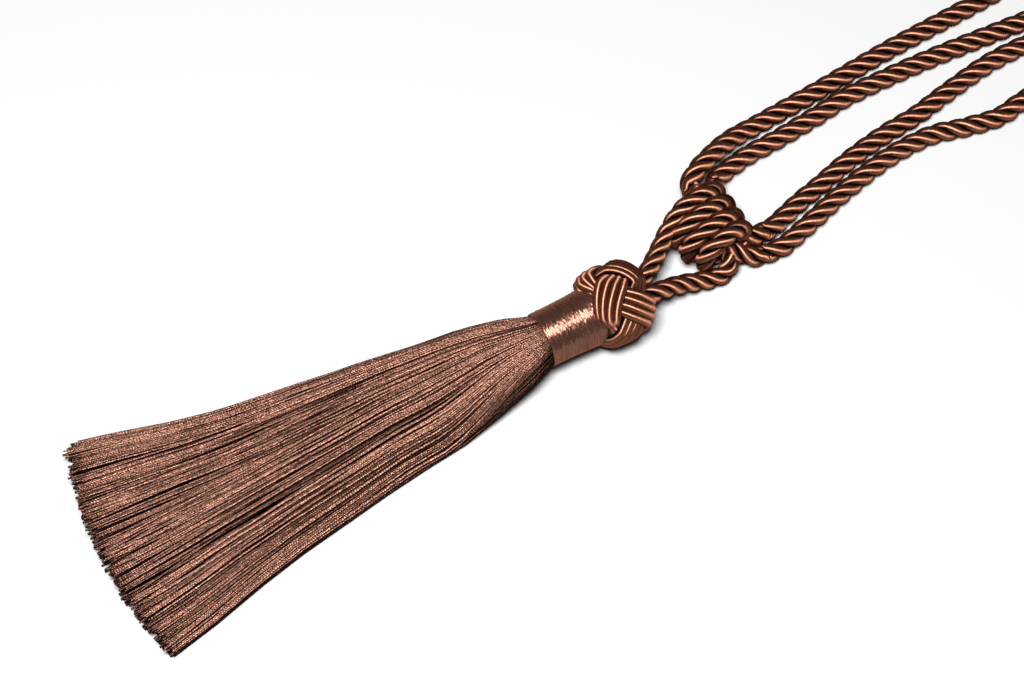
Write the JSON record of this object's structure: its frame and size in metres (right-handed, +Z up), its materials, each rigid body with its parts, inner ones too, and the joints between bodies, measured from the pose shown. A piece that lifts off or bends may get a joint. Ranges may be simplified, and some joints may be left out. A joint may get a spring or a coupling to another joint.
{
  "type": "curtain tieback tassel",
  "caption": "Curtain tieback of twisted rope: long loops leave a slip knot above a woven cord ball, a thread-bound neck and a fanned skirt of yarn.",
  "frame": {"origin": "on the table, under the middle of the woven ball", "axes": "+X along the tassel from its skirt to its rope loops, +Y to the left, +Z up from the table"},
  "size_m": [0.6511, 0.1318, 0.0352],
  "materials": {
    "skirt_yarn": "fine two-ply viscose yarn, silky",
    "binding_thread": "glossy fine thread, whipped tight",
    "ball_cord": "thread-wrapped cord, satin",
    "rope": "three-strand twisted rope of thread-wrapped cord, satin"
  },
  "bodies": {
    "root": {"tassel_skirt": "skirt_yarn", "neck_binding": "binding_thread", "head_knot": "ball_cord", "slip_knot": "rope", "arm_upper": "rope", "arm_lower": "rope"}
  },
  "joints": []
}
